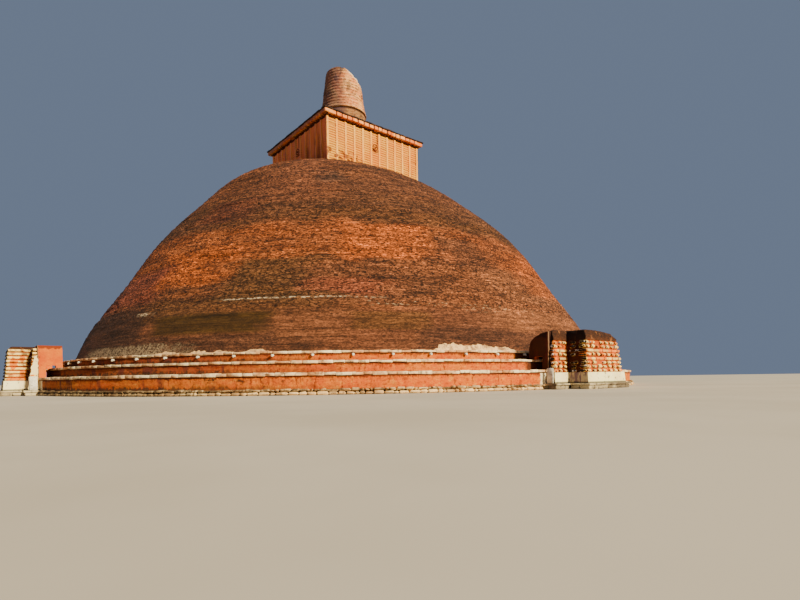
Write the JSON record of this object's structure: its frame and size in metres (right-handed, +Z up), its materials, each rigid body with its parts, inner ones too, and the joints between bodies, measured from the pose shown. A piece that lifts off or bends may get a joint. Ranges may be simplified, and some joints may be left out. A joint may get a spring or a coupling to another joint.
{
  "type": "1:10 scale model of a brick stupa",
  "caption": "Scale model of a ruined brick stupa: round terraces with copings, gate fronts, a solid dome, a square chamber block and a broken ringed spire.",
  "frame": {"origin": "on the ground, at the centre of the dome", "axes": "+Z up; each gate front faces along X or Y; the slumped side of the dome faces nearly -Y"},
  "size_m": [12.42, 12.42, 6.9244],
  "materials": {
    "rough_stone": "rough weathered stone",
    "terrace_brick": "bare orange brick with dark runs",
    "coping_stone": "weathered grey and cream stone",
    "dome_brick": "weathered brown-red brick with dark growth",
    "chamber_brick": "light orange brick in relief",
    "roof_brick": "dark weathered brick",
    "spire_brick": "ringed brick, spotted dark",
    "lime_plaster": "stained lime plaster",
    "carved_stone": "weathered white stone heads in orange brick beds",
    "gate_brick": "bare orange brick, dark at the top"
  },
  "bodies": {
    "root": {"footing_kerb": "rough_stone", "lower_terrace_wall": "terrace_brick", "middle_terrace_wall": "terrace_brick", "upper_terrace_wall": "terrace_brick", "lower_coping": "coping_stone", "middle_coping": "coping_stone", "upper_coping": "coping_stone", "dome": "dome_brick", "chamber_core": "chamber_brick", "chamber_cornice": "chamber_brick", "chamber_roof_slab": "roof_brick", "spire_drum": "spire_brick", "spire_shaft": "spire_brick", "chamber_face_east": "chamber_brick", "gate_east_base_step": "rough_stone", "gate_east_plinth": "lime_plaster", "gate_east_carved_courses": "carved_stone", "gate_east_brick_cap": "gate_brick", "gate_east_back_wall": "gate_brick", "gate_east_right_wing": "gate_brick", "gate_east_left_wing": "gate_brick", "chamber_face_north": "chamber_brick", "gate_north_base_step": "rough_stone", "gate_north_plinth": "lime_plaster", "gate_north_carved_courses": "carved_stone", "gate_north_brick_cap": "gate_brick", "gate_north_back_wall": "gate_brick", "gate_north_right_wing": "gate_brick", "gate_north_left_wing": "gate_brick", "chamber_face_west": "chamber_brick", "gate_west_base_step": "rough_stone", "gate_west_plinth": "lime_plaster", "gate_west_carved_courses": "carved_stone", "gate_west_brick_cap": "gate_brick", "gate_west_back_wall": "gate_brick", "gate_west_right_wing": "gate_brick", "gate_west_left_wing": "gate_brick", "chamber_face_south": "chamber_brick", "gate_south_base_step": "rough_stone", "gate_south_plinth": "lime_plaster", "gate_south_carved_courses": "carved_stone", "gate_south_brick_cap": "gate_brick", "gate_south_back_wall": "gate_brick", "gate_south_right_wing": "gate_brick", "gate_south_left_wing": "gate_brick"}
  },
  "joints": []
}
